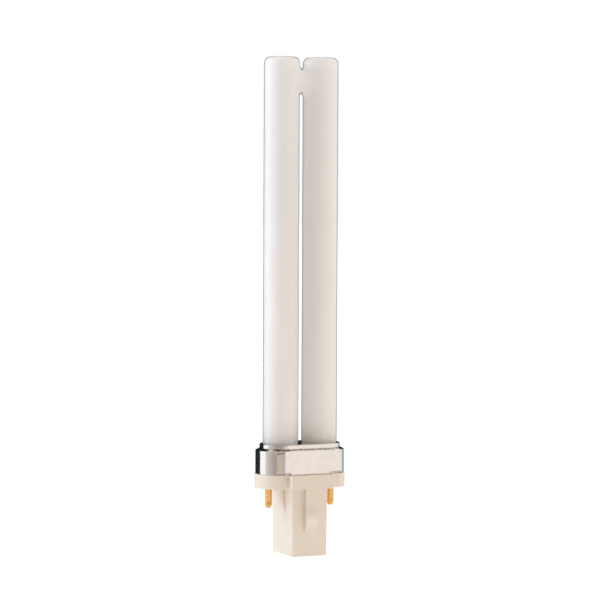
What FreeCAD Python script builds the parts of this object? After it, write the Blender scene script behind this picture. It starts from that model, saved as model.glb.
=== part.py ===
import FreeCAD, Part
import math
import os

# Twin-tube fluorescent lamp with a two-pin cap, in millimetres.
# It stands on the flat bottom of its post: the origin is the middle of that face,
# +Z runs up the tubes, and X runs through the two tubes and the two contact pins.

# Glass discharge tube
OVERALL_LENGTH = 167.0
TUBE_DIA = 12.0
TUBE_GAP = 2.3
CROWN_RISE = 0.2
CROWN_CORNER = 1.8
CROWN_BANDS = 3
BRIDGE_DIA = 8.0
BRIDGE_DROP = 8.1
BRIDGE_FILLET = 0.9
LARGEST_BRIDGE_FILLET = 0.4 * TUBE_GAP
FOOT_CLEARANCE = 2.1
PINCH_HEIGHT = 4.0
PINCH_WIDTH = 7.6
PINCH_THICKNESS = 3.0
PINCH_CORNER = 1.2
FOOT_WIRE_SPREAD = 3.8

# Collar, drawn from thin aluminium sheet
SHEET = 0.4
RIM_MARGIN = 1.57
END_ARC_INSET = 0.55
SHOULDER = 1.38
LOBE_MARGIN = 1.1
FACET_RISE = 0.9
COLLAR_BLOCK_WIDTH = 18.8
COLLAR_BLOCK_STEP = 0.5
COLLAR_HOLLOW_RADIUS = 0.05
COLLAR_EDGE_RADIUS = 0.45
BAND_HEIGHT = 7.8
BAND_TOP_BEVEL = 0.3
RIM_HEIGHT = 1.9
RIM_TOP_BEVEL = 0.35
NOTCH_RISE = 0.8
NOTCH_RAMP = 1.5
NOTCH_INTO_LOBE = 0.8
NOTCH_INTO_BLOCK = 2.6

# Moulded cap: flange, skirt and post
POST_HEIGHT = 22.8
POST_WIDTH = 12.5
POST_DEPTH = 15.8
POST_DRAFT = 0.25
POST_WALL = 1.3
POST_FLOOR = 1.2
FLANGE_HEIGHT = 4.6
FLANGE_FLOOR = 1.6
FLANGE_LIP = 0.3
FLANGE_LOBE_STEP = 0.95
FLANGE_BLOCK_WIDTH = 15.8
FLANGE_BLOCK_DEPTH = 22.0
FLANGE_HOLLOW_RADIUS = 0.5
FLANGE_EDGE_RADIUS = 0.4
SKIRT_RISE = 6.0
SKIRT_WALL = 1.2

# Ribs on the post: a long one with a catch on each deep side, a short wedge on each narrow side
RIB_WIDTH = 4.0
CATCH_RIB_PROUD = 1.8
CATCH_PROUD = 2.95
CATCH_TOP_DROP = 6.2
CATCH_CREST_DROP = 9.3
CATCH_END_DROP = 15.0
CATCH_HOLLOW_RADIUS = 4.0
CATCH_CREST_RADIUS = 3.0
WEDGE_PROUD = 1.0
WEDGE_FULL_DROP = 2.0
WEDGE_END_DROP = 8.3

# Contact pins
PIN_SPACING = 23.0
PIN_INSET = 4.9
PIN_DIA = 2.35
PIN_BORE = 1.5
PIN_ROOT_DIA = 2.8
PIN_LENGTH = 6.85
PIN_TIP_BEVEL = 0.45
PIN_TIP_SHOULDER = 0.9
PIN_TIP_HOLE = 0.7
PIN_HEAD_DIA = 3.4
PIN_HEAD_HEIGHT = 0.5
CRIMP_RADIUS = 0.8
CRIMP_DEPTH = 0.3
CRIMP_FROM_TIP = 2.0
CRIMP_TURN = 25.0

# Starter, capacitor and wires inside the post
STARTER_DIA = 7.6
STARTER_LENGTH = 17.0
STARTER_NECK_DIA = 4.4
STARTER_NECK_LENGTH = 3.0
STARTER_WIRE_SPREAD = 2.6
CAPACITOR_WIDTH = 7.0
CAPACITOR_THICKNESS = 2.6
CAPACITOR_HEIGHT = 6.5
CAPACITOR_CORNER = 0.8
LARGEST_CAPACITOR_CORNER = CAPACITOR_THICKNESS / 3
CAPACITOR_WIRE_SPREAD = 5.0
CAPACITOR_DROP = 5.2
WIRE_DIA = 0.5
WIRE_SIDES = 8
WIRE_STUB = 1.2
WIRE_LEVEL = 1.0
PIN_WIRE_DEPTH = 6.5
SLEEVE_DIA = 1.9
SLEEVE_BORE = 1.3
SLEEVE_LENGTH = 4.0
SLEEVE_SPREAD = 6.8
SLEEVE_WIRE_OVERLAP = 1.8

# Clearances, and the largest share of its room that a rounded corner takes
FIT = 0.1
SEAT_GAP = 0.3
LARGEST_FILLET = 0.98

# Heights and places that follow from the sizes above
FLANGE_TOP = POST_HEIGHT + FLANGE_HEIGHT
CAP_FLOOR_TOP = POST_HEIGHT + FLANGE_FLOOR
SKIRT_TOP = FLANGE_TOP + SKIRT_RISE
BAND_TOP = FLANGE_TOP + BAND_HEIGHT
RIM_TOP = BAND_TOP + RIM_HEIGHT
FOOT_BOTTOM = CAP_FLOOR_TOP + FOOT_CLEARANCE
TUBE_R = TUBE_DIA / 2
TUBE_X = (TUBE_DIA + TUBE_GAP) / 2
LOBE_DEPTH = TUBE_R + LOBE_MARGIN
COLLAR_BLOCK_DEPTH = 2 * (LOBE_DEPTH + FACET_RISE + COLLAR_BLOCK_STEP)
PIN_X = PIN_SPACING / 2
PIN_HEAD_TOP = CAP_FLOOR_TOP + PIN_HEAD_HEIGHT
END_ARC_X = max(TUBE_X - END_ARC_INSET, PIN_X - PIN_INSET)
RIM_R = TUBE_R + RIM_MARGIN
WIRE_Z = PIN_HEAD_TOP + WIRE_LEVEL / 2
STARTER_BOTTOM = POST_FLOOR + SEAT_GAP
STARTER_TOP = STARTER_BOTTOM + STARTER_LENGTH
STARTER_Y = -(POST_DEPTH / 2 - POST_WALL - SEAT_GAP - STARTER_DIA / 2)
CAPACITOR_Y = STARTER_Y + (STARTER_DIA + CAPACITOR_THICKNESS) / 2 + SEAT_GAP
CAPACITOR_TOP = POST_HEIGHT - CAPACITOR_DROP
SLEEVE_X = SLEEVE_SPREAD / 2
SLEEVE_TOP = CAP_FLOOR_TOP
SLEEVE_BOTTOM = SLEEVE_TOP - SLEEVE_LENGTH

SIDES = {"left": -1, "right": 1}
UP = FreeCAD.Vector(0, 0, 1)


def vec(x, y, z=0.0):
    return FreeCAD.Vector(x, y, z)


def extruded(wire, bottom, top):
    face = Part.Face(wire)
    face.translate(vec(0, 0, bottom))
    return face.extrude(vec(0, 0, top - bottom))


def rounded_run(points, radii):
    """Straight edges through the points, with an arc of the given radius at each inner point."""
    edges = []
    start = points[0]
    for before, corner, after, radius in zip(points, points[1:], points[2:], radii):
        to_before = (before - corner).normalize()
        to_after = (after - corner).normalize()
        half_angle = to_before.getAngle(to_after) / 2
        reach = radius / math.tan(half_angle)
        arc_start = corner + to_before * reach
        arc_end = corner + to_after * reach
        inward = (to_before + to_after).normalize()
        arc_middle = corner + inward * (radius / math.sin(half_angle) - radius)
        edges.append(Part.makeLine(start, arc_start))
        edges.append(Part.Arc(arc_start, arc_middle, arc_end).toShape())
        start = arc_end
    edges.append(Part.makeLine(start, points[-1]))
    return edges


def lobed_outline(end_radius, lobe_depth, facet_rise, block_width, block_depth, hollow_radius, edge_radius):
    """Plan of the collar and flange: round-ended lobes, facets that rise inward, and a deeper middle block."""
    corner_x = END_ARC_X + math.sqrt(end_radius ** 2 - lobe_depth ** 2)
    end_x = END_ARC_X + end_radius
    half_width = block_width / 2
    half_depth = block_depth / 2
    facet_depth = lobe_depth + facet_rise
    step_room = (half_depth - facet_depth) / (hollow_radius + edge_radius)
    lobe_room = (corner_x - half_width) / hollow_radius
    fitted = min(1, LARGEST_FILLET * min(step_room, lobe_room))
    radii = [radius * fitted for radius in (hollow_radius, edge_radius, edge_radius, hollow_radius)]
    edges = []
    for side in (-1, 1):
        plan = [(corner_x, lobe_depth), (half_width, facet_depth), (half_width, half_depth),
                (-half_width, half_depth), (-half_width, facet_depth), (-corner_x, lobe_depth)]
        points = [vec(-side * x, side * y) for x, y in plan]
        edges += rounded_run(points, radii)
        tip = vec(side * end_x, 0)
        edges.append(Part.Arc(points[-1], tip, vec(side * corner_x, -side * lobe_depth)).toShape())
    return Part.Wire(Part.__sortEdges__(edges))


def collar_outline(inset):
    """Plan of the collar's band, moved inward by the inset."""
    return lobed_outline(
        RIM_R + SHOULDER - inset,
        LOBE_DEPTH - inset,
        FACET_RISE,
        COLLAR_BLOCK_WIDTH - 2 * inset,
        COLLAR_BLOCK_DEPTH - 2 * inset,
        COLLAR_HOLLOW_RADIUS + inset,
        max(COLLAR_EDGE_RADIUS - inset, FIT),
    )


def rim_outline(inset):
    """Plan of the collar's rim: two half circles joined by straight sides."""
    radius = RIM_R - inset
    corners = [vec(sx * END_ARC_X, sy * radius) for sx, sy in ((-1, -1), (1, -1), (1, 1), (-1, 1))]
    tip = END_ARC_X + radius
    return Part.Wire([
        Part.makeLine(corners[0], corners[1]),
        Part.Arc(corners[1], vec(tip, 0), corners[2]).toShape(),
        Part.makeLine(corners[2], corners[3]),
        Part.Arc(corners[3], vec(-tip, 0), corners[0]).toShape(),
    ])


def rounded_rectangle(width, depth, radius):
    x = width / 2
    y = depth / 2
    points = [vec(0, -y), vec(x, -y), vec(x, y), vec(-x, y), vec(-x, -y), vec(0, -y)]
    return Part.Wire(rounded_run(points, [radius] * 4))


def turned(profile, x, y=0.0):
    """Solid of revolution about the upright line at x, y, from edges in the X-Z plane."""
    face = Part.Face(Part.Wire(profile))
    solid = face.revolve(vec(0, 0, 0), UP, 360)
    solid.translate(vec(x, y, 0))
    return solid


def polyline(points):
    return [Part.makeLine(a, b) for a, b in zip(points, points[1:])]


def bevelled_top(shape, size):
    """Break the outline edges of a solid's top face."""
    top = max(shape.Faces, key=lambda face: face.CenterOfMass.z)
    return shape.makeChamfer(size, top.Edges)


def bent_wire(points):
    """Many-sided wire along straight runs with mitred corners, from a first run that is upright."""
    path = Part.makePolygon(points)
    corners = []
    for step in range(WIRE_SIDES + 1):
        turn = 2 * math.pi * step / WIRE_SIDES
        corners.append(points[0] + vec(math.cos(turn), math.sin(turn)) * (WIRE_DIA / 2))
    mitred = 1
    return path.makePipeShell([Part.makePolygon(corners)], True, True, mitred)


def crowned_tube(side):
    """One closed glass tube with its rounded, slightly raised end and its pinched foot."""
    foot_top = FOOT_BOTTOM + PINCH_HEIGHT
    flat_r = TUBE_R - CROWN_CORNER
    corner_bottom = OVERALL_LENGTH - CROWN_RISE - CROWN_CORNER
    start = vec(0, 0, foot_top)
    profile = [start, vec(side * TUBE_R, 0, foot_top)]
    for step in range(CROWN_BANDS + 1):
        turn = math.pi / 2 * step / CROWN_BANDS
        x = flat_r + CROWN_CORNER * math.cos(turn)
        profile.append(vec(side * x, 0, corner_bottom + CROWN_CORNER * math.sin(turn)))
    profile += [vec(0, 0, OVERALL_LENGTH), start]
    tube = turned(polyline(profile), side * TUBE_X)
    pinch_plan = rounded_rectangle(PINCH_THICKNESS, PINCH_WIDTH, PINCH_CORNER)
    pinch = extruded(pinch_plan, FOOT_BOTTOM, foot_top)
    pinch.translate(vec(side * TUBE_X, 0, 0))
    return tube.fuse(pinch)


def twin_tube():
    """Both tubes and the bridge that joins their bores near the top, as one sealed glass piece."""
    bridge_z = OVERALL_LENGTH - BRIDGE_DROP
    bridge = Part.makeCylinder(BRIDGE_DIA / 2, 2 * TUBE_X, vec(-TUBE_X, 0, bridge_z), vec(1, 0, 0))
    glass = crowned_tube(-1).fuse([crowned_tube(1), bridge]).removeSplitter()
    reach = BRIDGE_DIA / 2 + FIT
    joins = []
    for edge in glass.Edges:
        box = edge.BoundBox
        level = abs(box.Center.z - bridge_z) < reach and box.ZLength > BRIDGE_DIA / 4
        if level and box.ZLength < 2 * reach and abs(box.Center.x) < TUBE_X and box.XMin * box.XMax > 0:
            joins.append(edge)
    return glass.makeFillet(min(BRIDGE_FILLET, LARGEST_BRIDGE_FILLET), joins)


def collar_notches():
    """The four reliefs in the band's lower edge, where it goes round from lobe to block."""
    lobe_x = END_ARC_X + math.sqrt((RIM_R + SHOULDER) ** 2 - LOBE_DEPTH ** 2)
    outer = lobe_x + NOTCH_INTO_LOBE
    inner = COLLAR_BLOCK_WIDTH / 2 - NOTCH_INTO_BLOCK
    low = FLANGE_TOP - FIT
    high = FLANGE_TOP + NOTCH_RISE
    start_y = TUBE_R / 2
    notches = []
    for side_x in (-1, 1):
        plan = [(outer, low), (outer, FLANGE_TOP), (outer - NOTCH_RAMP, high), (inner + NOTCH_RAMP, high),
                (inner, FLANGE_TOP), (inner, low), (outer, low)]
        for side_y in (-1, 1):
            points = [vec(side_x * x, side_y * start_y, z) for x, z in plan]
            face = Part.Face(Part.makePolygon(points))
            notches.append(face.extrude(vec(0, side_y * COLLAR_BLOCK_DEPTH / 2, 0)))
    return notches


def tube_collar():
    """Thin drawn collar: lobed band, shoulder, inset rim and a top with two round openings."""
    band = bevelled_top(extruded(collar_outline(0), FLANGE_TOP, BAND_TOP), BAND_TOP_BEVEL)
    rim = bevelled_top(extruded(rim_outline(0), FLANGE_TOP, RIM_TOP), RIM_TOP_BEVEL)
    inside = extruded(collar_outline(SHEET), FLANGE_TOP - FIT, BAND_TOP - SHEET)
    rim_inside = extruded(rim_outline(SHEET), FLANGE_TOP - FIT, RIM_TOP - SHEET)
    openings = [
        Part.makeCylinder(TUBE_R + FIT, RIM_TOP, vec(side * TUBE_X, 0, FLANGE_TOP)) for side in (-1, 1)]
    return band.fuse(rim).cut([inside, rim_inside] + openings + collar_notches())


def post_face(height, half_size):
    """Half size of the post at a height: its sides open out by the draft towards the flange."""
    return half_size + POST_DRAFT * height / POST_HEIGHT


def post_block(inset, bottom, top):
    """Tapered square block with the post's sides, moved inward by the inset."""
    wires = []
    for height in (bottom, top):
        x = post_face(height, POST_WIDTH / 2) - inset
        y = post_face(height, POST_DEPTH / 2) - inset
        corners = [vec(-x, -y, height), vec(x, -y, height), vec(x, y, height), vec(-x, y, height)]
        wires.append(Part.makePolygon(corners + corners[:1]))
    return Part.makeLoft(wires, True, True)


def catch_rib(side):
    """Long rib down a deep side of the post, with the bump that a lampholder's spring grips."""
    root = POST_DEPTH / 2 - POST_WALL / 2

    def point(drop, proud):
        height = POST_HEIGHT - drop
        return vec(-RIB_WIDTH / 2, side * (post_face(height, POST_DEPTH / 2) + proud), height)

    top = point(0, CATCH_RIB_PROUD)
    bump_top = point(CATCH_TOP_DROP, CATCH_RIB_PROUD)
    bump_crest = point(CATCH_CREST_DROP, CATCH_PROUD)
    end = point(CATCH_END_DROP, 0)
    inner_end = vec(end.x, side * root, end.z)
    inner_top = vec(top.x, side * root, top.z)
    edges = rounded_run([top, bump_top, bump_crest, end], [CATCH_HOLLOW_RADIUS, CATCH_CREST_RADIUS])
    edges += polyline([end, inner_end, inner_top, top])
    return Part.Face(Part.Wire(edges)).extrude(vec(RIB_WIDTH, 0, 0))


def wedge_rib(side):
    """Short wedge at the top of a narrow side of the post."""
    root = POST_WIDTH / 2 - POST_WALL / 2
    plan = []
    for drop, proud in ((0, WEDGE_PROUD), (WEDGE_FULL_DROP, WEDGE_PROUD), (WEDGE_END_DROP, 0)):
        height = POST_HEIGHT - drop
        plan.append(vec(side * (post_face(height, POST_WIDTH / 2) + proud), -RIB_WIDTH / 2, height))
    plan.append(vec(side * root, -RIB_WIDTH / 2, plan[-1].z))
    plan.append(vec(side * root, -RIB_WIDTH / 2, plan[0].z))
    return Part.Face(Part.makePolygon(plan + plan[:1])).extrude(vec(0, RIB_WIDTH, 0))


def cap_housing():
    """One moulding: hollow post with ribs, flange with pin lobes, and a skirt inside the collar."""
    flange = extruded(lobed_outline(
        RIM_R + SHOULDER + FLANGE_LIP,
        LOBE_DEPTH + FLANGE_LOBE_STEP,
        0,
        FLANGE_BLOCK_WIDTH,
        FLANGE_BLOCK_DEPTH,
        FLANGE_HOLLOW_RADIUS,
        FLANGE_EDGE_RADIUS,
    ), POST_HEIGHT, FLANGE_TOP)
    skirt_inset = SHEET + FIT
    skirt = extruded(collar_outline(skirt_inset), CAP_FLOOR_TOP, SKIRT_TOP)
    well = extruded(collar_outline(skirt_inset + SKIRT_WALL), CAP_FLOOR_TOP, SKIRT_TOP + FIT)
    post = post_block(0, 0, POST_HEIGHT + FLANGE_FLOOR)
    bore = post_block(POST_WALL, POST_FLOOR, POST_HEIGHT + FLANGE_HEIGHT)
    ribs = [catch_rib(-1), catch_rib(1), wedge_rib(-1), wedge_rib(1)]
    round_holes = []
    for side in (-1, 1):
        pin_place = vec(side * PIN_X, 0, POST_HEIGHT - FIT)
        round_holes.append(Part.makeCylinder((PIN_ROOT_DIA + FIT) / 2, FLANGE_HEIGHT, pin_place))
        tube_place = vec(side * TUBE_X, 0, CAP_FLOOR_TOP)
        round_holes.append(Part.makeCylinder(TUBE_R + FIT, SKIRT_TOP, tube_place))
    body = flange.fuse([skirt, post] + ribs)
    return body.cut([well, bore] + round_holes).removeSplitter()


def basing_cement():
    """Cement that fills the collar above the skirt and grips both tubes."""
    inset = SHEET + FIT
    filling = extruded(collar_outline(inset), SKIRT_TOP + FIT, BAND_TOP - inset)
    hole_r = TUBE_R + FIT / 2
    holes = [Part.makeCylinder(hole_r, BAND_HEIGHT, vec(side * TUBE_X, 0, FLANGE_TOP)) for side in (-1, 1)]
    return filling.cut(holes)


def contact_pin(side):
    """Hollow brass pin: head, root in the flange, shank, and a blunt tip with a hole, crimped on its lead."""
    r = PIN_DIA / 2
    root_r = PIN_ROOT_DIA / 2
    tip = POST_HEIGHT - PIN_LENGTH
    head_r = PIN_HEAD_DIA / 2
    bore_r = PIN_BORE / 2
    hole_r = PIN_TIP_HOLE / 2
    pin = turned(polyline([
        vec(hole_r, 0, tip), vec(r - PIN_TIP_BEVEL, 0, tip), vec(r, 0, tip + PIN_TIP_SHOULDER),
        vec(r, 0, POST_HEIGHT), vec(root_r, 0, POST_HEIGHT), vec(root_r, 0, CAP_FLOOR_TOP),
        vec(head_r, 0, CAP_FLOOR_TOP), vec(head_r, 0, PIN_HEAD_TOP),
        vec(bore_r, 0, PIN_HEAD_TOP), vec(bore_r, 0, tip + PIN_TIP_SHOULDER),
        vec(hole_r, 0, tip + PIN_TIP_SHOULDER), vec(hole_r, 0, tip)]), side * PIN_X)
    reach = r + CRIMP_RADIUS - CRIMP_DEPTH
    crimp_z = tip + CRIMP_FROM_TIP
    turn = math.radians(CRIMP_TURN)
    crimps = []
    for face in (-1, 1):
        x = side * (PIN_X + face * reach * math.sin(turn))
        crimps.append(Part.makeSphere(CRIMP_RADIUS, vec(x, -face * reach * math.cos(turn), crimp_z)))
    return pin.cut(crimps)


def starter_bottle():
    """Sealed glow starter that stands in the post, neck up."""
    neck_bottom = STARTER_TOP - STARTER_NECK_LENGTH
    body = Part.makeCylinder(STARTER_DIA / 2, neck_bottom - STARTER_BOTTOM, vec(0, STARTER_Y, STARTER_BOTTOM))
    neck = Part.makeCylinder(STARTER_NECK_DIA / 2, STARTER_NECK_LENGTH, vec(0, STARTER_Y, neck_bottom))
    return body.fuse(neck)


def suppression_capacitor():
    """Small dipped block beside the starter."""
    corner = min(CAPACITOR_CORNER, LARGEST_CAPACITOR_CORNER)
    plan = rounded_rectangle(CAPACITOR_WIDTH, CAPACITOR_THICKNESS, corner)
    block = extruded(plan, CAPACITOR_TOP - CAPACITOR_HEIGHT, CAPACITOR_TOP)
    block.translate(vec(0, CAPACITOR_Y, 0))
    return block


def lead_into_sleeve(side, x, y, z, sleeve_y):
    """Wire from a starter or capacitor terminal up into the splice sleeve of its side."""
    below = SLEEVE_BOTTOM - WIRE_LEVEL / 2
    return bent_wire([
        vec(side * x, y, z), vec(side * x, y, z + WIRE_STUB), vec(side * SLEEVE_X, sleeve_y, below),
        vec(side * SLEEVE_X, sleeve_y, SLEEVE_BOTTOM + SLEEVE_WIRE_OVERLAP)])


def starter_lead(side):
    return lead_into_sleeve(side, STARTER_WIRE_SPREAD / 2, STARTER_Y, STARTER_TOP, -(WIRE_DIA + FIT) / 2)


def capacitor_lead(side):
    return lead_into_sleeve(side, CAPACITOR_WIRE_SPREAD / 2, CAPACITOR_Y, CAPACITOR_TOP, (WIRE_DIA + FIT) / 2)


def pin_lead(side):
    """Wire from a tube foot over the cap floor and down into the hollow pin."""
    y = FOOT_WIRE_SPREAD / 2
    return bent_wire([
        vec(side * TUBE_X, y, FOOT_BOTTOM), vec(side * TUBE_X, y, WIRE_Z), vec(side * PIN_X, 0, WIRE_Z),
        vec(side * PIN_X, 0, PIN_HEAD_TOP - PIN_WIRE_DEPTH)])


def tube_lead(side):
    """Wire from a tube foot to the splice sleeve over the post."""
    y = -FOOT_WIRE_SPREAD / 2
    return bent_wire([
        vec(side * TUBE_X, y, FOOT_BOTTOM), vec(side * TUBE_X, y, WIRE_Z), vec(side * SLEEVE_X, 0, WIRE_Z),
        vec(side * SLEEVE_X, 0, SLEEVE_TOP - SLEEVE_WIRE_OVERLAP)])


def splice_sleeve(side):
    centre = vec(side * SLEEVE_X, 0, SLEEVE_BOTTOM)
    outside = Part.makeCylinder(SLEEVE_DIA / 2, SLEEVE_LENGTH, centre)
    return outside.cut(Part.makeCylinder(SLEEVE_BORE / 2, SLEEVE_LENGTH, centre))


def nodes():
    shapes = {
        "twin_tube": twin_tube(),
        "tube_collar": tube_collar(),
        "cap_housing": cap_housing(),
        "basing_cement": basing_cement(),
        "starter_bottle": starter_bottle(),
        "suppression_capacitor": suppression_capacitor(),
    }
    paired = {
        "contact_pin": contact_pin,
        "starter_lead": starter_lead,
        "capacitor_lead": capacitor_lead,
        "pin_lead": pin_lead,
        "tube_lead": tube_lead,
        "splice_sleeve": splice_sleeve,
    }
    for name, build in paired.items():
        for side_name, side in SIDES.items():
            shapes[name + "_" + side_name] = build(side)
    return shapes


os.makedirs("parts", exist_ok=True)
for node, shape in nodes().items():
    shape.exportStep(os.path.join("parts", node + ".step"))
    print(node, "solids", len(shape.Solids), "valid", shape.isValid(), "volume", round(shape.Volume, 2))
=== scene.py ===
import math

import bmesh
import bpy
import numpy as np
from mathutils import Matrix, Vector, noise


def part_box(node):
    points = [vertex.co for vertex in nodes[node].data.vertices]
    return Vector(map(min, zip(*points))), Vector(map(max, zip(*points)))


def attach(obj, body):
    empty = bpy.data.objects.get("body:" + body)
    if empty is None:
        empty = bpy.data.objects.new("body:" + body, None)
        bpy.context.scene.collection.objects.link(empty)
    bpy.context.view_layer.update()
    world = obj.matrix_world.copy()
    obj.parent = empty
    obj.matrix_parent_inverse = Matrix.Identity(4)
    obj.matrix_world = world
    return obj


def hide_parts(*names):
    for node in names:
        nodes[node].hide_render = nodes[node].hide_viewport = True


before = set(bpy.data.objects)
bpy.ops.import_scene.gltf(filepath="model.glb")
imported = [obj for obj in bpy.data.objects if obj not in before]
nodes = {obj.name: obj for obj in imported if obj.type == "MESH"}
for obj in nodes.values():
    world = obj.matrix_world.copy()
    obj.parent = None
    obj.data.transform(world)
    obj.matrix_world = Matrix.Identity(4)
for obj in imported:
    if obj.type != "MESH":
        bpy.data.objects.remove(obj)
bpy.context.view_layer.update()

# All sizes are in metres, in the lamp's own frame: it stands on its post, +Z up, X through both tubes.
MM = 0.001

# The camera, as found from the photograph
CAMERA_TURN = math.radians(25.33)
CAMERA_PITCH = math.radians(2.362)
CAMERA_ROLL = math.radians(-0.258)
CAMERA_DISTANCE = 870.4 * MM
CAMERA_SIDE = -0.119 * MM
CAMERA_HEIGHT = 121.45 * MM
FOCAL_LENGTH_PX = 2590.1
PICTURE_WIDTH_PX = 600
SENSOR_WIDTH = 36.0

# Level directions seen from the camera: straight ahead, and to the right
AHEAD = Vector((math.sin(CAMERA_TURN), math.cos(CAMERA_TURN), 0))
RIGHT = Vector((math.cos(CAMERA_TURN), -math.sin(CAMERA_TURN), 0))
UP = Vector((0, 0, 1))

# Glass tubes: what the frame doesn't give
CROWN_CORNER = 1.8 * MM
CROWN_RISE = 0.2 * MM
BRIDGE_RADIUS = 3.95 * MM
BRIDGE_DROP = 8.1 * MM
BRIDGE_BLEND = 2.2 * MM
FOOT_HEIGHT = 4.0 * MM
FOOT_WIDTH = 7.6 * MM
FOOT_THICKNESS = 3.0 * MM
FOOT_CORNER = 0.6 * MM
GLASS_VOXEL = 0.5 * MM
ROUGH_GLASS_SEGMENTS = 64
FITTING_ROUNDS = 8
LEAST_SLOPE_SQUARED = 0.2
GRADIENT_STEP = 0.002 * MM

# Collar: what the frame doesn't give
SHEET = 0.4 * MM
END_RADIUS = 8.95 * MM
RIM_RADIUS = 7.57 * MM
LOBE_DEPTH = 7.1 * MM
FACET_RISE = 0.9 * MM
BLOCK_HALF_WIDTH = 9.4 * MM
RIM_RISE = 0.4 * MM
SHOULDER_HEIGHT = 8.5 * MM
SHOULDER_SLOPE = 0.35
SHOULDER_ROUND = 0.2 * MM
RIM_ROUND = 0.4 * MM
RIM_FOOT_ROUND = 0.25 * MM
OPENING_CLEARANCE = 0.1 * MM
OPENING_LIP = 0.25 * MM
NOTCH_RISE = 0.8 * MM
NOTCH_LOBE_RAMP = 1.5 * MM
NOTCH_BLOCK_RAMP = 0.6 * MM
NOTCH_INTO_LOBE = 0.8 * MM
NOTCH_INTO_BLOCK = 2.6 * MM
CREASE_DROP = 0.65 * MM
CREASE_DEPTH = 0.35 * MM
CREASE_UNDER = 0.35 * MM
CUT_EDGE = 0.06 * MM
OUTLINE_STEP = 0.12 * MM
FOLD_SOFTNESS = 0.16 * MM
SHEET_WAVE = 0.012 * MM
WAVE_SIZE = 3.5 * MM
LOBE_POINTS = 200
SMOOTHING_STEPS = 12
OPENING_POINTS = 96
ROUND_STEPS = 5
RIM_FOOT_STEPS = 3
LIP_STEPS = 4
OUTSIDE_ROWS = 13
INSIDE_ROWS = 5
SLANT_ROWS = (0.25, 0.5, 0.75)
LEDGE_ROWS = (0, 0.2, 0.8)

# Finish of the solids that are kept as they are
CAP_EDGE = 0.15 * MM
PIN_EDGE = 0.08 * MM
EDGE_SEGMENTS = 2
WELD_REACH = 0.001 * MM
FLAT_ANGLE = math.radians(0.5)
SHARP_ANGLE = math.radians(28)

# Studio: level directions in degrees, where 0 is towards the camera and positive turns to the camera's right
STUDIO_RADIUS = 200 * MM
STUDIO_HEIGHT = 400 * MM
STUDIO_SEGMENTS = 96
FLOOR_HALF_WIDTH = 8000 * MM
FLOOR_DROP = 0.02 * MM
FLOOR_PAINT = (0.35, 0.35, 0.35)
FLOOR_SEEN = 0.86
FLOOR_MIRRORED = 0.6
FLOOR_LIGHT = 0.8
WORLD_LIGHT = 0.95
WORLD_TINT = (1.0, 0.95, 0.89)
CEILING_GLOW = (0.1, 0.1, 0.1)
KEY_DIRECTION = -89
KEY_DISTANCE = 190 * MM
KEY_WIDTH = 100 * MM
KEY_GLOW = (2.12, 2.44, 3.0)
BACK_DIRECTION = 180
BACK_DISTANCE = 150 * MM
BACK_WIDTH = 240 * MM
BACK_GLOW = (0.8, 0.86, 0.98)

# What the screen round the lamp shows by direction: black behind, a white strip at the left,
# grey in front, a warm white at the right and a narrow blue-grey edge
BLACK = (0.02, 0.022, 0.025)
STRIP = (1.08, 1.08, 1.08)
SURROUND_STOPS = [
    (-180, BLACK), (-106, BLACK), (-103, STRIP), (-76, STRIP),
    (-71, (0.72, 0.69, 0.66)), (-50, (0.54, 0.49, 0.45)), (-25, (0.38, 0.34, 0.30)), (0, (0.42, 0.36, 0.31)),
    (14, (0.66, 0.54, 0.45)), (36, (0.96, 0.86, 0.77)), (124, (0.94, 0.88, 0.82)), (129, (0.85, 0.82, 0.79)),
    (135, (0.38, 0.48, 0.48)), (156, (0.22, 0.4, 0.42)), (162, BLACK), (180, BLACK)]
SURROUND_LEAST_LIGHT = (0.36, 0.32, 0.29)


def link(obj):
    """Put the object in the scene."""
    bpy.context.scene.collection.objects.link(obj)
    return obj


def mesh_object(name, mesh, material):
    """Smooth-shaded object in the scene with one material."""
    mesh.materials.clear()
    mesh.materials.append(material)
    mesh.polygons.foreach_set("use_smooth", [True] * len(mesh.polygons))
    return link(bpy.data.objects.new(name, mesh))


# Materials

def add_node(tree, kind, inputs=None, **settings):
    """New shader node; each input is a value or another node's output."""
    made = tree.nodes.new(kind)
    for key, value in settings.items():
        setattr(made, key, value)
    for key, value in (inputs or {}).items():
        feed(tree, made.inputs[key], value)
    return made


def feed(tree, socket, value):
    """Link another node's output to the socket, or set it to a value."""
    if isinstance(value, bpy.types.NodeSocket):
        tree.links.new(value, socket)
    else:
        socket.default_value = value


def new_material(name, **shader_inputs):
    """A material with one Principled shader; the inputs given are the same all over the surface."""
    material = bpy.data.materials.new(name)
    material.use_nodes = True
    tree = material.node_tree
    tree.nodes.clear()
    same_all_over = {key.replace("_", " "): value for key, value in shader_inputs.items()}
    shader = add_node(tree, "ShaderNodeBsdfPrincipled", same_all_over)
    add_node(tree, "ShaderNodeOutputMaterial", {"Surface": shader.outputs["BSDF"]})
    return material, tree, shader


def place(tree):
    """Place on the object, in metres."""
    return add_node(tree, "ShaderNodeTexCoord").outputs["Object"]


def height_on(tree):
    """Height on the object, in metres."""
    return add_node(tree, "ShaderNodeSeparateXYZ", {"Vector": place(tree)}).outputs["Z"]


def cloud(tree, size, detail=3.0, stretch=(1, 1, 1), offset=(0, 0, 0)):
    """Smooth noise with features of the given size, stretched along an axis, as a value about 0.5."""
    mapped = add_node(tree, "ShaderNodeMapping", {
        "Vector": place(tree), "Location": offset, "Scale": stretch})
    texture = add_node(tree, "ShaderNodeTexNoise", {
        "Vector": mapped.outputs["Vector"], "Scale": 1 / size, "Detail": detail})
    return texture.outputs["Fac"]


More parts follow.
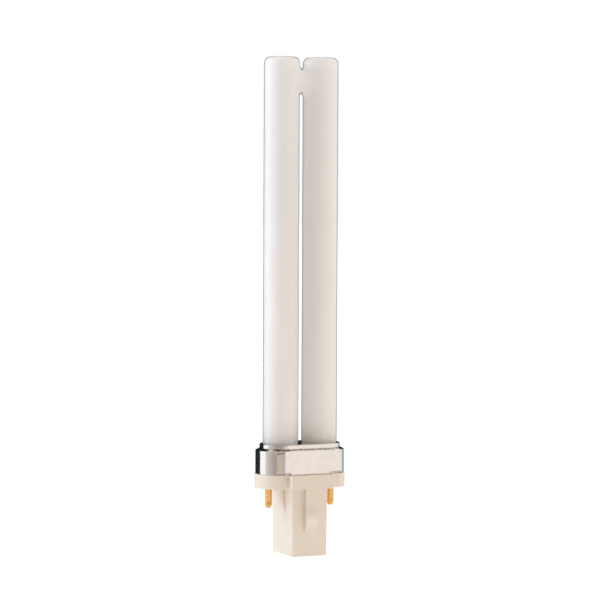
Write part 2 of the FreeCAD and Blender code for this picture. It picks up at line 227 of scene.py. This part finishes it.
def ranged(tree, value, low, high, to_low=0.0, to_high=1.0):
    """The value's way from low to high, clamped, as a number from to_low to to_high."""
    made = add_node(tree, "ShaderNodeMapRange", {
        "Value": value, "From Min": low, "From Max": high, "To Min": to_low, "To Max": to_high})
    return made.outputs["Result"]


def calculated(tree, operation, *values):
    """Result of a math node."""
    made = add_node(tree, "ShaderNodeMath", dict(enumerate(values)), operation=operation)
    return made.outputs[0]


def mixed(tree, factor, first, second, blend="MIX"):
    """Blend of two colours; each is a colour or another node's output."""
    made = add_node(tree, "ShaderNodeMix", data_type="RGBA", blend_type=blend)
    factor_socket, first_socket, second_socket = made.inputs[0], made.inputs[6], made.inputs[7]
    feed(tree, factor_socket, factor)
    feed(tree, first_socket, first)
    feed(tree, second_socket, second)
    return made.outputs[2]


def connect(tree, output, shader, name):
    """Let a node's output drive the shader's named input."""
    tree.links.new(output, shader.inputs[name])


def bump(tree, shader, height, depth):
    """Fine relief of the given depth."""
    made = add_node(tree, "ShaderNodeBump", {"Height": height, "Strength": 1.0, "Distance": depth})
    connect(tree, made.outputs["Normal"], shader, "Normal")


def rgb(red, green, blue):
    """Opaque colour."""
    return (red, green, blue, 1.0)


def opal_glass():
    """Smooth glass over a white powder coat, a little uneven, with painted light: paler towards the top,
    warmer low down, and a painted dark reflection where seen edge-on.
    """
    material, tree, shader = new_material(
        "opal_glass", IOR=1.5, Subsurface_Weight=1.0, Subsurface_Radius=(1, 1, 1), Subsurface_Scale=20 * MM)
    # Painted light: the powder is paler towards the top and warmer and darker low down, standing in for light
    # from above and warm light thrown up by the collar
    painted_height_light = ranged(tree, height_on(tree), 40 * MM, 165 * MM)
    powder = mixed(tree, painted_height_light, rgb(0.715, 0.675, 0.635), rgb(0.775, 0.765, 0.745))
    uneven = ranged(tree, cloud(tree, 9 * MM, 4.0, (1, 1, 0.35)), 0.3, 0.7)
    powder = mixed(tree, ranged(tree, uneven, 0, 1, 0, 0.5), powder, rgb(0.795, 0.775, 0.755))
    # Painted reflection: the base colour turns dark blue-grey where the tube is seen edge-on, standing in for
    # the dark studio mirrored at grazing angles
    facing = add_node(tree, "ShaderNodeLayerWeight", {"Blend": 0.5}).outputs["Facing"]
    painted_dark_edge = ranged(tree, facing, 0.66, 0.84)
    connect(tree, mixed(tree, painted_dark_edge, powder, rgb(0.12, 0.15, 0.17)), shader, "Base Color")
    connect(tree, ranged(tree, cloud(tree, 20 * MM), 0.3, 0.7, 0.05, 0.11), shader, "Roughness")
    bump(tree, shader, cloud(tree, 14 * MM, 1.0, (1, 1, 0.25)), 0.04 * MM)
    return material


def rim_foot_dirt(tree):
    """Patches of dirt along the foot of the collar's rim, as a value from 0 to 1."""
    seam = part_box("tube_collar")[0].z + SHOULDER_HEIGHT
    away = calculated(tree, "ABSOLUTE", calculated(tree, "SUBTRACT", height_on(tree), seam))
    patches = ranged(tree, cloud(tree, 0.5 * MM, 4.0, offset=(4, 8, 3)), 0.42, 0.6)
    return calculated(tree, "MULTIPLY", ranged(tree, away, 0.4 * MM, 0.15 * MM), patches)


def collar_metal():
    """Bright drawn aluminium sheet: faint draw lines, small pits and smudges, and dirt at the rim's foot."""
    material, tree, shader = new_material("collar_metal", Metallic=1.0)
    smudge = ranged(tree, cloud(tree, 2.2 * MM, 5.0, offset=(3, 1, 2)), 0.42, 0.72)
    colour = mixed(tree, smudge, rgb(0.88, 0.875, 0.87), rgb(0.84, 0.825, 0.81))
    colour = mixed(tree, rim_foot_dirt(tree), colour, rgb(0.28, 0.22, 0.17))
    pit = ranged(tree, cloud(tree, 0.35 * MM, 2.0, offset=(7, 5, 1)), 0.70, 0.76)
    connect(tree, mixed(tree, pit, colour, rgb(0.6, 0.57, 0.54)), shader, "Base Color")
    connect(tree, ranged(tree, cloud(tree, 1.5 * MM, 4.0), 0.3, 0.7, 0.06, 0.12), shader, "Roughness")
    bump(tree, shader, cloud(tree, 0.3 * MM, 2.0, (1, 1, 0.06)), 0.004 * MM)
    return material


def cap_plastic():
    """Cream moulded plastic with a fine satin grain."""
    material, tree, shader = new_material(
        "cap_plastic", IOR=1.48, Subsurface_Weight=0.25, Subsurface_Radius=(1, 0.7, 0.45),
        Subsurface_Scale=1 * MM)
    uneven = ranged(tree, cloud(tree, 6 * MM, 4.0), 0.3, 0.7)
    colour = mixed(tree, uneven, rgb(0.80, 0.72, 0.615), rgb(0.83, 0.75, 0.645))
    grime = ranged(tree, cloud(tree, 0.8 * MM, 5.0, offset=(2, 9, 4)), 0.6, 0.8)
    connect(tree, mixed(tree, grime, colour, rgb(0.74, 0.67, 0.57)), shader, "Base Color")
    connect(tree, ranged(tree, cloud(tree, 1.1 * MM, 3.0), 0.3, 0.7, 0.36, 0.5), shader, "Roughness")
    bump(tree, shader, cloud(tree, 0.12 * MM, 3.0), 0.006 * MM)
    return material


def metal(name, bright, tarnished, smooth, rough):
    """Plain metal with tarnished patches; used for brass and wire."""
    material, tree, shader = new_material(name, Metallic=1.0)
    patch = ranged(tree, cloud(tree, 0.9 * MM, 5.0, (1, 1, 0.4)), 0.4, 0.75)
    connect(tree, mixed(tree, patch, bright, tarnished), shader, "Base Color")
    connect(tree, ranged(tree, cloud(tree, 0.6 * MM, 3.0), 0.3, 0.7, smooth, rough), shader, "Roughness")
    bump(tree, shader, cloud(tree, 0.2 * MM, 2.0, (1, 1, 0.1)), 0.003 * MM)
    return material


def dull(name, light, dark, grain, depth, roughness):
    """Unpolished surface with a grain; used for cement, starter glass and coating."""
    material, tree, shader = new_material(name, Roughness=roughness)
    patch = ranged(tree, cloud(tree, 3 * grain, 5.0), 0.35, 0.65)
    connect(tree, mixed(tree, patch, light, dark), shader, "Base Color")
    bump(tree, shader, cloud(tree, grain, 3.0), depth)
    return material


# Pieces

def rounded_cylinder(points, centre_x, radius, top):
    """Signed distance to an upright closed tube with a rounded, slightly domed top."""
    radial = np.hypot(points[:, 0] - centre_x, points[:, 1])
    z = points[:, 2] + CROWN_RISE * (radial / radius) ** 2
    out = radial - (radius - CROWN_CORNER)
    over = z - (top - CROWN_CORNER)
    beyond = np.hypot(np.maximum(out, 0), np.maximum(over, 0))
    return beyond + np.minimum(np.maximum(out, over), 0) - CROWN_CORNER


def rounded_block(points, centre, half_size, corner):
    """Signed distance to a block with rounded edges."""
    away = np.abs(points - centre) - (half_size - corner)
    return np.linalg.norm(np.maximum(away, 0), axis=1) + np.minimum(away.max(axis=1), 0) - corner


def soft_union(first, second, reach):
    """Smallest of two distances, blended over the given reach like melted glass."""
    near = np.maximum(reach - np.abs(first - second), 0) / reach
    return np.minimum(first, second) - near ** 2 * reach / 4


def glass_distance(points):
    """Signed distance to the whole glass piece: two tubes, the bridge between them and the pinched feet."""
    low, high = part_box("twin_tube")
    radius = high.y
    tube_x = high.x - radius
    foot_top = low.z + FOOT_HEIGHT
    tubes = np.full(len(points), np.inf)
    for side in (-1, 1):
        tube = rounded_cylinder(points, side * tube_x, radius, high.z)
        tube = np.maximum(tube, foot_top - points[:, 2])
        foot_centre = np.array([side * tube_x, 0, low.z + FOOT_HEIGHT])
        foot_half = np.array([FOOT_THICKNESS / 2, FOOT_WIDTH / 2, FOOT_HEIGHT])
        foot = rounded_block(points, foot_centre, foot_half, FOOT_CORNER)
        tubes = np.minimum(tubes, np.minimum(tube, foot))
    bridge_z = high.z - BRIDGE_DROP
    bridge = np.hypot(points[:, 1], points[:, 2] - bridge_z) - BRIDGE_RADIUS
    bridge = np.maximum(bridge, np.abs(points[:, 0]) - tube_x)
    return soft_union(tubes, bridge, BRIDGE_BLEND)


def gradient(points):
    """Slope of the signed distance at each point; it points out of the glass."""
    slopes = np.empty_like(points)
    for axis in range(3):
        shift = np.zeros(3)
        shift[axis] = GRADIENT_STEP
        rise = glass_distance(points + shift) - glass_distance(points - shift)
        slopes[:, axis] = rise / (2 * GRADIENT_STEP)
    return slopes


def rough_glass():
    """Plain cylinders and blocks in one mesh, about where the glass is, to be skinned and then fitted."""
    low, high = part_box("twin_tube")
    radius = high.y
    tube_x = high.x - radius
    foot_top = low.z + FOOT_HEIGHT
    bm = bmesh.new()

    def cylinder(centre, size, length, turn):
        """Closed cylinder round its centre, upright before the turn."""
        bmesh.ops.create_cone(
            bm, cap_ends=True, segments=ROUGH_GLASS_SEGMENTS, radius1=size, radius2=size, depth=length,
            matrix=Matrix.Translation(centre) @ turn)

    for side in (-1, 1):
        middle = Vector((side * tube_x, 0, (foot_top + high.z) / 2))
        cylinder(middle, radius, high.z - foot_top, Matrix.Identity(4))
        foot_middle = Vector((side * tube_x, 0, low.z + FOOT_HEIGHT))
        scale = Matrix.Diagonal((FOOT_THICKNESS, FOOT_WIDTH, 2 * FOOT_HEIGHT, 1))
        bmesh.ops.create_cube(bm, size=1, matrix=Matrix.Translation(foot_middle) @ scale)
    across = Matrix.Rotation(math.pi / 2, 4, "Y")
    cylinder(Vector((0, 0, high.z - BRIDGE_DROP)), BRIDGE_RADIUS, 2 * tube_x, across)
    mesh = bpy.data.meshes.new("rough_glass")
    bm.to_mesh(mesh)
    bm.free()
    return mesh


def skinned(mesh, voxel):
    """One even closed skin round everything in the mesh."""
    holder = link(bpy.data.objects.new("holder", mesh))
    remesh = holder.modifiers.new("skin", "REMESH")
    remesh.mode = "VOXEL"
    remesh.voxel_size = voxel
    skin = bpy.data.meshes.new_from_object(holder.evaluated_get(bpy.context.evaluated_depsgraph_get()))
    bpy.data.objects.remove(holder)
    return skin


def glass_tubes(material):
    """The whole glass piece: an even skin moved onto the exact surface, with that surface's normals."""
    mesh = skinned(rough_glass(), GLASS_VOXEL)
    points = np.empty(len(mesh.vertices) * 3)
    mesh.vertices.foreach_get("co", points)
    points = points.reshape(-1, 3)
    for _ in range(FITTING_ROUNDS):
        slopes = gradient(points)
        steepness = np.maximum((slopes ** 2).sum(axis=1), LEAST_SLOPE_SQUARED)
        points -= slopes * (glass_distance(points) / steepness)[:, None]
    mesh.vertices.foreach_set("co", points.ravel())
    mesh.update()
    piece = mesh_object("glass_tubes", mesh, material)
    slopes = gradient(points)
    mesh.normals_split_custom_set_from_vertices(slopes / np.linalg.norm(slopes, axis=1)[:, None])
    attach(piece, "root")
    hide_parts("twin_tube")


def quarter_outline(end_x, half_depth):
    """The band's plan in its first quarter: round lobe, facet rising to the block, and the block's front."""
    turns = np.linspace(0, math.asin(LOBE_DEPTH / END_RADIUS), LOBE_POINTS)
    arc_x = end_x - END_RADIUS
    lobe = np.stack([arc_x + END_RADIUS * np.cos(turns), END_RADIUS * np.sin(turns)], axis=1)
    block = [[BLOCK_HALF_WIDTH, LOBE_DEPTH + FACET_RISE], [BLOCK_HALF_WIDTH, half_depth], [0, half_depth]]
    return np.concatenate([lobe, block])


def evenly_spaced(loop, step):
    """The closed loop in even steps near the given one, the same number of them in each quarter."""
    closed = np.concatenate([loop, loop[:1]])
    lengths = np.linalg.norm(np.diff(closed, axis=0), axis=1)
    along = np.concatenate([[0], np.cumsum(lengths)])
    quarters = 4
    count = int(round(along[-1] / step / quarters)) * quarters
    wanted = np.arange(count) * along[-1] / count
    return np.stack([np.interp(wanted, along, closed[:, i]) for i in range(2)], axis=1)


def softened(loop, reach, step):
    """The loop with its folds rounded over the given reach."""
    steps = np.arange(-SMOOTHING_STEPS, SMOOTHING_STEPS + 1)
    weights = np.exp(-0.5 * (steps * step / reach) ** 2)
    weights /= weights.sum()
    return sum(w * np.roll(loop, s, axis=0) for w, s in zip(weights, steps))


def band_outline():
    """Closed plan of the band, counterclockwise from the +X end, with its outward normals."""
    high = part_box("tube_collar")[1]
    quarter = quarter_outline(high.x, high.y)
    mirrored = quarter[::-1] * [-1, 1]
    half = np.concatenate([quarter, mirrored[1:]])
    whole = np.concatenate([half, -half[1:]])
    loop = softened(evenly_spaced(whole, OUTLINE_STEP), FOLD_SOFTNESS, OUTLINE_STEP)
    ahead = np.roll(loop, -1, axis=0) - np.roll(loop, 1, axis=0)
    ahead /= np.linalg.norm(ahead, axis=1)[:, None]
    return loop, np.stack([ahead[:, 1], -ahead[:, 0]], axis=1)


def rounding(radius, steps):
    """Inset and drop along a quarter-round edge, from the wall to the top."""
    angles = np.linspace(0, math.pi / 2, steps + 1)
    return [(radius * (1 - math.cos(a)), radius * (1 - math.sin(a))) for a in angles]


def lobe_end(end_x):
    """X where the round lobe ends and the facet starts."""
    return end_x - END_RADIUS + math.sqrt(END_RADIUS ** 2 - LOBE_DEPTH ** 2)


def notch_height(band, lobe_x):
    """How far the lower edge is raised at each point of the band: a sloped notch beside each lobe."""
    from_lobe = (lobe_x + NOTCH_INTO_LOBE - np.abs(band[:, 0])) / NOTCH_LOBE_RAMP
    from_block = (np.abs(band[:, 0]) - (BLOCK_HALF_WIDTH - NOTCH_INTO_BLOCK)) / NOTCH_BLOCK_RAMP
    beside = np.abs(band[:, 1]) > LOBE_DEPTH / 2
    return NOTCH_RISE * np.clip(np.minimum(from_lobe, from_block), 0, 1) * beside


def collar_rows():
    """Rings of points over the collar: outside from the top down, round the lower edge, and up the inside."""
    low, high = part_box("tube_collar")
    band, outward = band_outline()
    arc_x = high.x - END_RADIUS
    lobe_x = lobe_end(high.x)
    rim_top = high.z + RIM_RISE
    shoulder_top = low.z + SHOULDER_HEIGHT
    core = np.stack([np.clip(band[:, 0], -arc_x, arc_x), np.zeros(len(band))], axis=1)
    rim_out = band - core
    reach = np.linalg.norm(rim_out, axis=1)
    rim_out /= reach[:, None]
    band_top = shoulder_top - SHOULDER_SLOPE * (reach - RIM_RADIUS)
    bottom = low.z + notch_height(band, lobe_x)
    across = np.abs(band[:, 0])
    on_facet = (across > BLOCK_HALF_WIDTH) & (across < lobe_x) & (np.abs(band[:, 1]) > LOBE_DEPTH / 2)

    def rim(out, z):
        """Ring on the rim's round-ended plan, out from its wall."""
        flat = core + rim_out * (RIM_RADIUS + out)
        return np.column_stack([flat, np.broadcast_to(z, len(flat))])

    def wall(inset, z):
        """Ring on the band's plan, inset from its outside."""
        return np.column_stack([band - outward * inset, np.broadcast_to(z, len(band))])

    rows = [rim(-inset, rim_top - drop) for inset, drop in reversed(rounding(RIM_ROUND, ROUND_STEPS))]
    rows += [rim(inset, shoulder_top + drop) for inset, drop in rounding(RIM_FOOT_ROUND, RIM_FOOT_STEPS)]
    set_back = (CREASE_DEPTH * on_facet)[:, None]
    shoulder = [wall(inset + set_back, band_top - drop)
                for inset, drop in reversed(rounding(SHOULDER_ROUND, ROUND_STEPS))]
    rows += [rows[-1] * (1 - t) + shoulder[0] * t for t in SLANT_ROWS] + shoulder
    crease = band_top - CREASE_DROP
    rows += [wall(set_back * (1 - t), crease - CREASE_UNDER * t) for t in LEDGE_ROWS]
    start = crease - CREASE_UNDER
    rows += [wall(0, bottom + CUT_EDGE + (start - bottom - CUT_EDGE) * t)
             for t in np.linspace(1, 0, OUTSIDE_ROWS)]
    rows.insert(-1, wall(0, bottom + 2 * CUT_EDGE))
    rows += [wall(CUT_EDGE, bottom), wall(SHEET - CUT_EDGE, bottom)]
    rows += [wall(SHEET, bottom + CUT_EDGE + (band_top - 3 * SHEET - bottom) * t)
             for t in np.linspace(0, 1, INSIDE_ROWS)]
    rows += [wall(SHOULDER_ROUND + SHEET, band_top - SHEET), rim(-SHEET, shoulder_top - SHEET)]
    rows += [rim(-SHEET, rim_top - 2 * SHEET), rim(-RIM_ROUND - SHEET, rim_top - SHEET)]
    return rows


def collar_shell(material):
    """The drawn collar as one closed thin shell, with rounded folds and two openings for the tubes."""
    low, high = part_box("tube_collar")
    tube_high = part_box("twin_tube")[1]
    tube_x = tube_high.x - tube_high.y
    opening = tube_high.y + OPENING_CLEARANCE
    rim_top = high.z + RIM_RISE
    rows = collar_rows()
    bm = bmesh.new()
    rings = [[bm.verts.new(p) for p in row] for row in rows]
    count = len(rings[0])
    for upper, lower in zip(rings, rings[1:]):
        for i in range(count):
            j = (i + 1) % count
            bm.faces.new((upper[i], lower[i], lower[j], upper[j]))

    def edges_of(ring):
        """The closed ring's edges, made where there are none."""
        return [bm.edges.get((a, b)) or bm.edges.new((a, b)) for a, b in zip(ring, ring[1:] + ring[:1])]

    top_edges = edges_of(rings[0])
    under_edges = edges_of(rings[-1])
    circle = np.linspace(0, 2 * math.pi, OPENING_POINTS, endpoint=False)
    for side in (-1, 1):
        profile = [(opening + OPENING_LIP, rim_top)] + [
            (opening + OPENING_LIP * (1 - math.sin(a)), rim_top - OPENING_LIP * (1 - math.cos(a)))
            for a in np.linspace(0, math.pi / 2, LIP_STEPS + 1)[1:]] + [(opening, rim_top - SHEET)]
        loops = [[bm.verts.new((side * tube_x + r * math.cos(a), r * math.sin(a), z)) for a in circle]
                 for r, z in profile]
        for upper, lower in zip(loops, loops[1:]):
            for i in range(len(circle)):
                j = (i + 1) % len(circle)
                bm.faces.new((upper[j], lower[j], lower[i], upper[i]))
        top_edges += edges_of(loops[0])
        under_edges += edges_of(loops[-1])
    bmesh.ops.triangle_fill(bm, edges=top_edges, use_beauty=True)
    bmesh.ops.triangle_fill(bm, edges=under_edges, use_beauty=True)
    bmesh.ops.recalc_face_normals(bm, faces=bm.faces)
    for vertex in bm.verts:
        if vertex.co.z < rim_top - SHEET:
            vertex.co += vertex.normal * (noise.noise(vertex.co / WAVE_SIZE) * SHEET_WAVE)
    mesh = bpy.data.meshes.new("collar_shell")
    bm.to_mesh(mesh)
    bm.free()
    piece = mesh_object("collar_shell", mesh, material)
    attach(piece, "root")
    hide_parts("tube_collar")


def dress(node, material, edge=0.0):
    """Give a CAD node its finish, with its sharp edges broken by a small round."""
    obj = nodes[node]
    obj.data.materials.clear()
    obj.data.materials.append(material)
    weld = obj.modifiers.new("weld", "WELD")
    weld.merge_threshold = WELD_REACH
    flat = obj.modifiers.new("flat", "DECIMATE")
    flat.decimate_type = "DISSOLVE"
    flat.angle_limit = FLAT_ANGLE
    if edge:
        rounded = obj.modifiers.new("rounded", "BEVEL")
        rounded.width = edge
        rounded.segments = EDGE_SEGMENTS
        rounded.limit_method = "ANGLE"
        rounded.angle_limit = SHARP_ANGLE
        rounded.harden_normals = False
    smooth = obj.modifiers.new("smooth", "WEIGHTED_NORMAL")
    smooth.keep_sharp = True
    obj.data.polygons.foreach_set("use_smooth", [True] * len(obj.data.polygons))


# Studio

def direction(degrees):
    """Level direction from the lamp: 0 is towards the camera, and positive turns to the camera's right."""
    turn = math.radians(degrees)
    return -AHEAD * math.cos(turn) + RIGHT * math.sin(turn)


def softbox(name, degrees, distance, width, glow):
    """Upright flat studio light that faces the lamp; glow is the colour and strength it shows."""
    data = bpy.data.lights.new(name, "AREA")
    data.shape = "RECTANGLE"
    data.size = width
    data.size_y = STUDIO_HEIGHT
    data.color = [c / max(glow) for c in glow]
    data.energy = max(glow) * math.pi * width * STUDIO_HEIGHT
    light = link(bpy.data.objects.new(name, data))
    turn = (-direction(degrees)).to_track_quat("-Z", "Y").to_matrix().to_4x4()
    light.matrix_world = Matrix.Translation(direction(degrees) * distance + UP * STUDIO_HEIGHT / 2) @ turn
    light.visible_camera = False
    return light


def stage_mesh(name, bm, material):
    """Stage piece that the camera doesn't see, from the given mesh."""
    mesh = bpy.data.meshes.new(name)
    bm.to_mesh(mesh)
    bm.free()
    piece = mesh_object(name, mesh, material)
    piece.visible_camera = False
    piece.visible_transmission = False
    return piece


def surround(stops, least):
    """Screen all round the lamp: colours by direction, and no darker than least where it only lights."""
    material = bpy.data.materials.new("surround")
    material.use_nodes = True
    tree = material.node_tree
    tree.nodes.clear()
    turn = add_node(tree, "ShaderNodeTexGradient", {"Vector": place(tree)}, gradient_type="RADIAL")
    ramp = add_node(tree, "ShaderNodeValToRGB", {"Fac": turn.outputs["Fac"]})
    full_turn = 360
    for index, (degrees, colour) in enumerate(stops):
        at = 0.5 + degrees / full_turn
        stop = ramp.color_ramp.elements[index] if index < 2 else ramp.color_ramp.elements.new(at)
        stop.position = at
        stop.color = rgb(*colour)
    lighting = add_node(tree, "ShaderNodeLightPath").outputs["Is Diffuse Ray"]
    lifted = mixed(tree, lighting, ramp.outputs["Color"], rgb(*least), "LIGHTEN")
    glow = add_node(tree, "ShaderNodeEmission", {"Color": lifted, "Strength": 1.0})
    add_node(tree, "ShaderNodeOutputMaterial", {"Surface": glow.outputs["Emission"]})
    bm = bmesh.new()
    bmesh.ops.create_cone(
        bm, cap_ends=False, segments=STUDIO_SEGMENTS, radius1=STUDIO_RADIUS, radius2=STUDIO_RADIUS,
        depth=STUDIO_HEIGHT, matrix=Matrix.Translation((0, 0, STUDIO_HEIGHT / 2)))
    piece = stage_mesh("surround", bm, material)
    piece.matrix_world = Matrix((-AHEAD, RIGHT, UP)).transposed().to_4x4()


def ceiling(colour):
    """Dark card over the lamp that only shiny surfaces see; light from above goes through it."""
    material = bpy.data.materials.new("ceiling")
    material.use_nodes = True
    tree = material.node_tree
    tree.nodes.clear()
    glow = add_node(tree, "ShaderNodeEmission", {"Color": rgb(*colour), "Strength": 1.0})
    add_node(tree, "ShaderNodeOutputMaterial", {"Surface": glow.outputs["Emission"]})
    bm = bmesh.new()
    bmesh.ops.create_circle(
        bm, cap_ends=True, segments=STUDIO_SEGMENTS, radius=STUDIO_RADIUS,
        matrix=Matrix.Translation((0, 0, STUDIO_HEIGHT)))
    piece = stage_mesh("ceiling", bm, material)
    piece.visible_diffuse = False
    piece.visible_shadow = False


def seen_directly(tree):
    """1 for rays from the camera, from shiny surfaces and through glass, and 0 for rays that only light."""
    path = add_node(tree, "ShaderNodeLightPath").outputs
    either = calculated(tree, "MAXIMUM", path["Is Camera Ray"], path["Is Glossy Ray"])
    return calculated(tree, "MAXIMUM", either, path["Is Transmission Ray"])


def white_world(ambient, tint):
    """White where it is seen, and a softer even light where it only lights."""
    world = bpy.data.worlds.new("white")
    bpy.context.scene.world = world
    world.use_nodes = True
    tree = world.node_tree
    tree.nodes.clear()
    strength = ranged(tree, seen_directly(tree), 0, 1, ambient, 1.0)
    colour = mixed(tree, seen_directly(tree), rgb(*tint), rgb(1, 1, 1))
    sky = add_node(tree, "ShaderNodeBackground", {"Color": colour, "Strength": strength})
    add_node(tree, "ShaderNodeOutputWorld", {"Surface": sky.outputs["Background"]})


def white_floor(seen_light, mirrored_light, given_light):
    """Pale floor that keeps a soft shadow: matt paint, and a glow set for each way it is seen or lights."""
    mesh = bpy.data.meshes.new("floor")
    corners = [(x * FLOOR_HALF_WIDTH, y * FLOOR_HALF_WIDTH, -FLOOR_DROP)
               for x, y in ((-1, -1), (1, -1), (1, 1), (-1, 1))]
    mesh.from_pydata(corners, [], [(0, 1, 2, 3)])
    material = bpy.data.materials.new("floor")
    material.use_nodes = True
    tree = material.node_tree
    tree.nodes.clear()
    paint = add_node(tree, "ShaderNodeBsdfDiffuse", {"Color": rgb(*FLOOR_PAINT)})
    strength = ranged(tree, seen_directly(tree), 0, 1, given_light, seen_light)
    mirrored = add_node(tree, "ShaderNodeLightPath").outputs["Is Glossy Ray"]
    strength = ranged(tree, mirrored, 0, 1, strength, mirrored_light)
    glow = add_node(tree, "ShaderNodeEmission", {"Color": rgb(1, 1, 1), "Strength": strength})
    both = add_node(tree, "ShaderNodeAddShader")
    tree.links.new(paint.outputs[0], both.inputs[0])
    tree.links.new(glow.outputs[0], both.inputs[1])
    add_node(tree, "ShaderNodeOutputMaterial", {"Surface": both.outputs[0]})
    mesh_object("floor", mesh, material)


def add_camera():
    """Camera at the photograph's angle, distance and focal length."""
    forward = AHEAD * math.cos(CAMERA_PITCH) - UP * math.sin(CAMERA_PITCH)
    level_up = AHEAD * math.sin(CAMERA_PITCH) + UP * math.cos(CAMERA_PITCH)
    right = RIGHT * math.cos(CAMERA_ROLL) - level_up * math.sin(CAMERA_ROLL)
    up = RIGHT * math.sin(CAMERA_ROLL) + level_up * math.cos(CAMERA_ROLL)
    data = bpy.data.cameras.new("camera")
    data.sensor_width = SENSOR_WIDTH
    data.lens = FOCAL_LENGTH_PX * SENSOR_WIDTH / PICTURE_WIDTH_PX
    camera = link(bpy.data.objects.new("camera", data))
    turn = Matrix((right, up, -forward)).transposed().to_4x4()
    spot = RIGHT * CAMERA_SIDE - AHEAD * CAMERA_DISTANCE + UP * CAMERA_HEIGHT
    camera.matrix_world = Matrix.Translation(spot) @ turn
    bpy.context.scene.camera = camera


# Camera, light and floor

bpy.context.scene.view_settings.view_transform = "Standard"
add_camera()
white_world(WORLD_LIGHT, WORLD_TINT)
white_floor(FLOOR_SEEN, FLOOR_MIRRORED, FLOOR_LIGHT)
key = softbox("key", KEY_DIRECTION, KEY_DISTANCE, KEY_WIDTH, KEY_GLOW)
back = softbox("back", BACK_DIRECTION, BACK_DISTANCE, BACK_WIDTH, BACK_GLOW)
for light in (key, back):
    light.visible_glossy = False
surround(SURROUND_STOPS, SURROUND_LEAST_LIGHT)
ceiling(CEILING_GLOW)

# The lamp

glass_tubes(opal_glass())
collar_shell(collar_metal())
dress("cap_housing", cap_plastic(), CAP_EDGE)
brass = metal("pin_brass", rgb(0.90, 0.50, 0.17), rgb(0.78, 0.41, 0.12), 0.04, 0.10)
wire = metal("lead_wire", rgb(0.72, 0.71, 0.70), rgb(0.5, 0.49, 0.47), 0.25, 0.4)
for side in ("left", "right"):
    dress("contact_pin_" + side, brass, PIN_EDGE)
    dress("splice_sleeve_" + side, brass)
    for lead in ("starter_lead_", "capacitor_lead_", "pin_lead_", "tube_lead_"):
        dress(lead + side, wire)
cement = dull("cement", rgb(0.72, 0.70, 0.64), rgb(0.62, 0.59, 0.53), 0.5 * MM, 0.05 * MM, 0.9)
starter_glass = dull("starter_glass", rgb(0.75, 0.77, 0.77), rgb(0.66, 0.69, 0.69), 2 * MM, 0.01 * MM, 0.15)
coat = dull("coat", rgb(0.5, 0.16, 0.05), rgb(0.42, 0.13, 0.04), 1 * MM, 0.03 * MM, 0.35)
dress("basing_cement", cement)
dress("starter_bottle", starter_glass)
dress("suppression_capacitor", coat)
